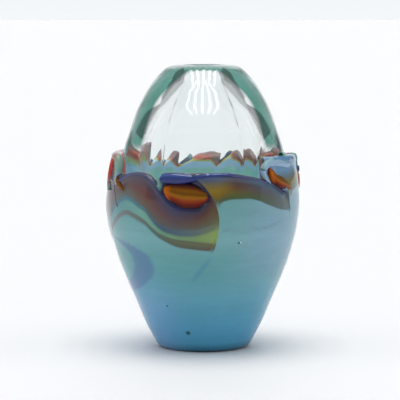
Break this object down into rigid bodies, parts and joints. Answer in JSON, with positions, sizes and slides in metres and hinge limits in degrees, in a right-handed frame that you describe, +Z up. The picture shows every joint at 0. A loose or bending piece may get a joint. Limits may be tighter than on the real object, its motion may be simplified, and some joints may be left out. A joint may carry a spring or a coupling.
{
  "type": "hand blown art glass vase",
  "caption": "Thick clear glass vase with a narrow mouth, held in an opaque teal overlay cup whose lip is pulled into overlapping waves of coloured trails.",
  "frame": {"origin": "centre of the flat foot, on the surface that the vase stands on", "axes": "+Z up along the vase's axis to the mouth, -Y towards the front, where the widest fold is, +X to the right seen from the front"},
  "size_m": [0.102, 0.1021, 0.15],
  "materials": {
    "clear_inner_glass": "fire-polished, clear with a faint green-blue tint",
    "clear_casing_glass": "fire-polished, clear, green-teal where it is seen edge on",
    "pale_blue_lining_glass": "smooth, opaque pale blue",
    "silver_teal_glass": "fire-polished, opaque silvery teal shading to blue",
    "veil_glass": "fire-polished, smoky plum-blue smear",
    "streak_glass": "fire-polished, blue smear",
    "cobalt_glass": "fire-polished, deep cobalt",
    "amber_glass": "fire-polished, streaked amber with a dark red edge",
    "plum_glass": "fire-polished, plum brown with mauve haze",
    "steel_blue_glass": "fire-polished, steel blue",
    "lime_glass": "fire-polished, lime to olive",
    "curl_glass": "fire-polished, red and mint rolled together"
  },
  "bodies": {
    "root": {"inner_gather": "clear_inner_glass", "clear_casing": "clear_casing_glass", "overlay_lining": "pale_blue_lining_glass", "overlay_cup": "silver_teal_glass", "plum_veil": "veil_glass", "blue_streak": "streak_glass", "left_lip": "cobalt_glass", "left_fold": "amber_glass", "left_plum_band": "plum_glass", "left_blue_trail": "steel_blue_glass", "left_lime_band": "lime_glass", "left_curl": "curl_glass", "front_lip": "cobalt_glass", "front_fold": "amber_glass", "front_plum_band": "plum_glass", "front_blue_trail": "steel_blue_glass", "front_lime_band": "lime_glass", "front_curl": "curl_glass", "right_lip": "cobalt_glass", "right_fold": "amber_glass", "right_plum_band": "plum_glass", "right_blue_trail": "steel_blue_glass", "right_lime_band": "lime_glass", "right_curl": "curl_glass", "right_rear_lip": "cobalt_glass", "right_rear_fold": "amber_glass", "right_rear_plum_band": "plum_glass", "right_rear_blue_trail": "steel_blue_glass", "right_rear_lime_band": "lime_glass", "right_rear_curl": "curl_glass", "back_right_lip": "cobalt_glass", "back_right_fold": "amber_glass", "back_right_plum_band": "plum_glass", "back_right_blue_trail": "steel_blue_glass", "back_right_lime_band": "lime_glass", "back_right_curl": "curl_glass", "back_lip": "cobalt_glass", "back_fold": "amber_glass", "back_plum_band": "plum_glass", "back_blue_trail": "steel_blue_glass", "back_lime_band": "lime_glass", "back_curl": "curl_glass", "back_left_lip": "cobalt_glass", "back_left_fold": "amber_glass", "back_left_plum_band": "plum_glass", "back_left_blue_trail": "steel_blue_glass", "back_left_lime_band": "lime_glass", "back_left_curl": "curl_glass", "left_rear_lip": "cobalt_glass", "left_rear_fold": "amber_glass", "left_rear_plum_band": "plum_glass", "left_rear_blue_trail": "steel_blue_glass", "left_rear_lime_band": "lime_glass", "left_rear_curl": "curl_glass"}
  },
  "joints": []
}
